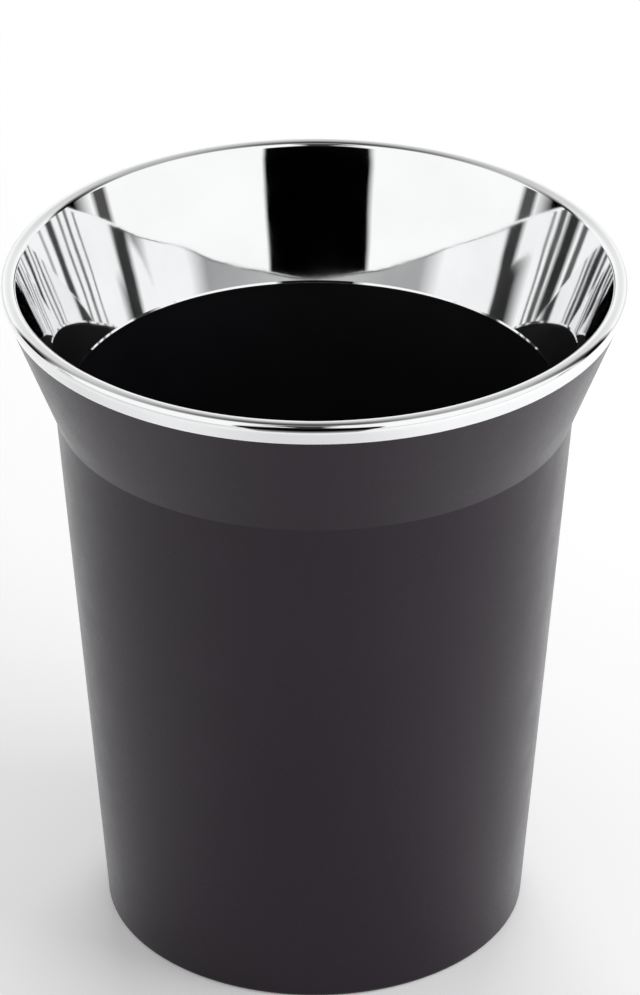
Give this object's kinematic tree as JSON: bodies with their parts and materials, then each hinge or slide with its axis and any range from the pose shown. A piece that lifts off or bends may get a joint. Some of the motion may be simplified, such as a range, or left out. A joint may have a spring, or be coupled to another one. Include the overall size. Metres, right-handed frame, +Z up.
{
  "type": "cutlery holder",
  "caption": "Round tapered black plastic cutlery holder with a flared collar and a lift-out chrome funnel whose rounded rim rests on the cup's edge.",
  "frame": {"origin": "on the table, under the middle of the cup", "axes": "+Z up along the axis that both pieces are turned about; +X and +Y are free because the object is round"},
  "size_m": [0.13, 0.13, 0.15],
  "materials": {
    "black_plastic": "satin",
    "chrome_plating": "polished"
  },
  "bodies": {
    "cup": {"cup": "black_plastic"},
    "insert": {"funnel_insert": "chrome_plating"}
  },
  "joints": [
    {"name": "insert_lift", "type": "slide", "parent": "cup", "child": "insert", "axis": [0, 0, 1], "range_m": [0, 0.06]}
  ]
}
